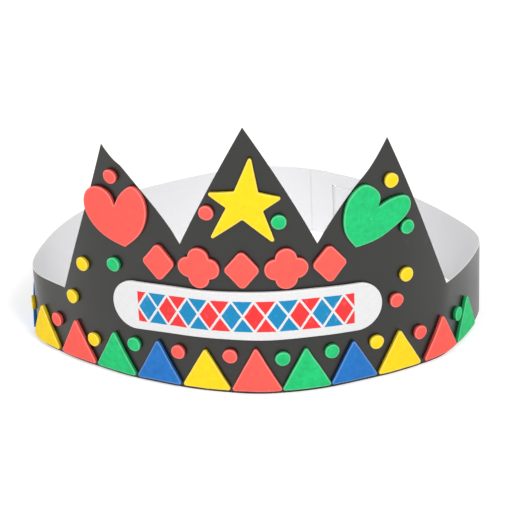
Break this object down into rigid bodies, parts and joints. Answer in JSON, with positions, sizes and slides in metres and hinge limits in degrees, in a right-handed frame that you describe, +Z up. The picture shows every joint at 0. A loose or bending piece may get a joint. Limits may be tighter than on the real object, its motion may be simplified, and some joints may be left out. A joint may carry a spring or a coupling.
{
  "type": "paper crown",
  "caption": "Card crown with pointed front, closed into a ring by a tab in a slit, with foam shapes stuck on the front: triangles, dots, hearts, a star and a printed banner.",
  "frame": {"origin": "centre of the crown's bounding box, at the card's lower edge", "axes": "+Z up, the decorated front faces -Y, +X to the right of the front"},
  "size_m": [0.204, 0.1768, 0.1207],
  "materials": {
    "black_card": "smooth card, matt black outside and white inside, with white cut edges",
    "foam_white": "soft closed-cell foam sheet with a printed blue and red pattern",
    "foam_yellow": "soft closed-cell foam sheet, fine grain",
    "foam_coral": "soft closed-cell foam sheet, fine grain",
    "foam_green": "soft closed-cell foam sheet, fine grain",
    "foam_blue": "soft closed-cell foam sheet, fine grain"
  },
  "bodies": {
    "root": {"banner": "foam_white", "card_strip": "black_card", "flower_2": "foam_coral", "flower_4": "foam_coral", "heart_coral": "foam_coral", "heart_green": "foam_green", "lozenge_1": "foam_coral", "lozenge_3": "foam_coral", "lozenge_5": "foam_coral", "point_dot_01_coral": "foam_coral", "point_dot_02_yellow": "foam_yellow", "point_dot_03_green": "foam_green", "point_dot_04_yellow": "foam_yellow", "point_dot_05_coral": "foam_coral", "point_dot_06_green": "foam_green", "point_dot_07_yellow": "foam_yellow", "point_dot_08_green": "foam_green", "point_dot_09_yellow": "foam_yellow", "point_dot_10_coral": "foam_coral", "row_dot_01_yellow": "foam_yellow", "row_dot_02_coral": "foam_coral", "row_dot_03_yellow": "foam_yellow", "row_dot_04_green": "foam_green", "row_dot_05_coral": "foam_coral", "row_dot_06_coral": "foam_coral", "row_dot_07_green": "foam_green", "row_dot_08_green": "foam_green", "row_dot_09_yellow": "foam_yellow", "row_dot_10_coral": "foam_coral", "row_dot_11_green": "foam_green", "star": "foam_yellow", "triangle_01_blue": "foam_blue", "triangle_02_yellow": "foam_yellow", "triangle_03_coral": "foam_coral", "triangle_04_green": "foam_green", "triangle_05_blue": "foam_blue", "triangle_06_yellow": "foam_yellow", "triangle_07_coral": "foam_coral", "triangle_08_green": "foam_green", "triangle_09_blue": "foam_blue", "triangle_10_yellow": "foam_yellow", "triangle_11_coral": "foam_coral", "triangle_12_green": "foam_green"}
  },
  "joints": []
}
